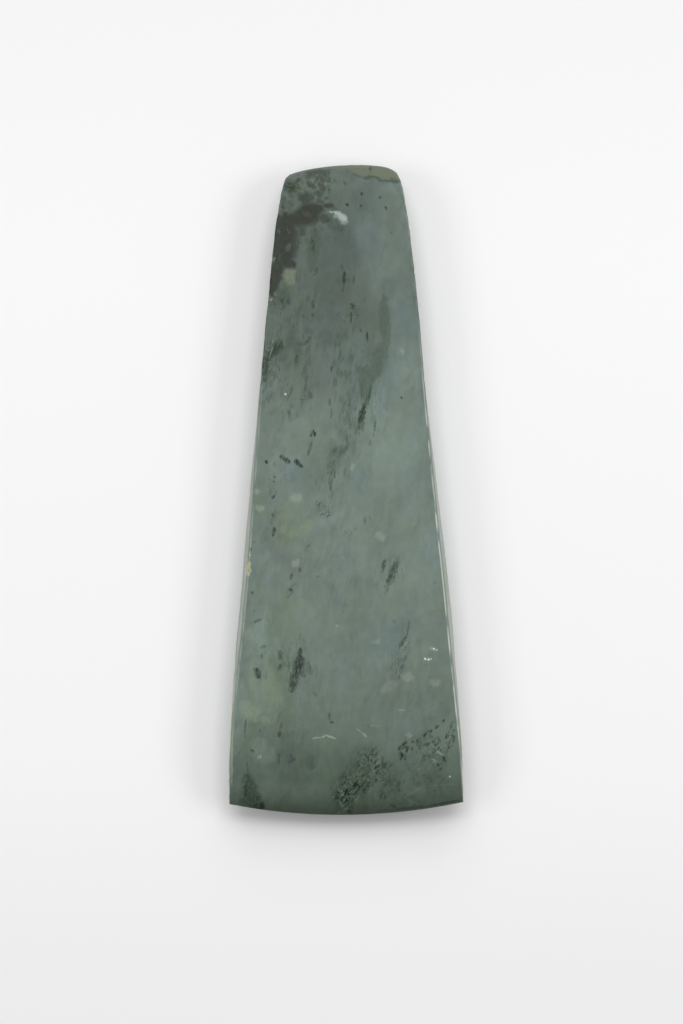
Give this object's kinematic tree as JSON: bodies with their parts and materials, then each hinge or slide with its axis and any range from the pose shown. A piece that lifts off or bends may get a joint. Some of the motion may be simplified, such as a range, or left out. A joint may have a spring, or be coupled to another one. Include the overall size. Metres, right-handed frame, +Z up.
{
  "type": "greenstone adze",
  "caption": "Ground and polished stone adze blade, flared from a narrow rounded butt to a broad curved cutting edge, lying on its flat back.",
  "frame": {"origin": "on the resting surface under the middle of the adze's bounding box", "axes": "+Y from the cutting edge to the butt, +X across the blade to the picture's right, +Z up through the face; the adze lies on its flat back"},
  "size_m": [0.0684, 0.19, 0.0165],
  "materials": {
    "greenstone": "polished dark grey-green stone with natural markings, worn to a soft sheen"
  },
  "bodies": {
    "root": {"adze": "greenstone"}
  },
  "joints": []
}
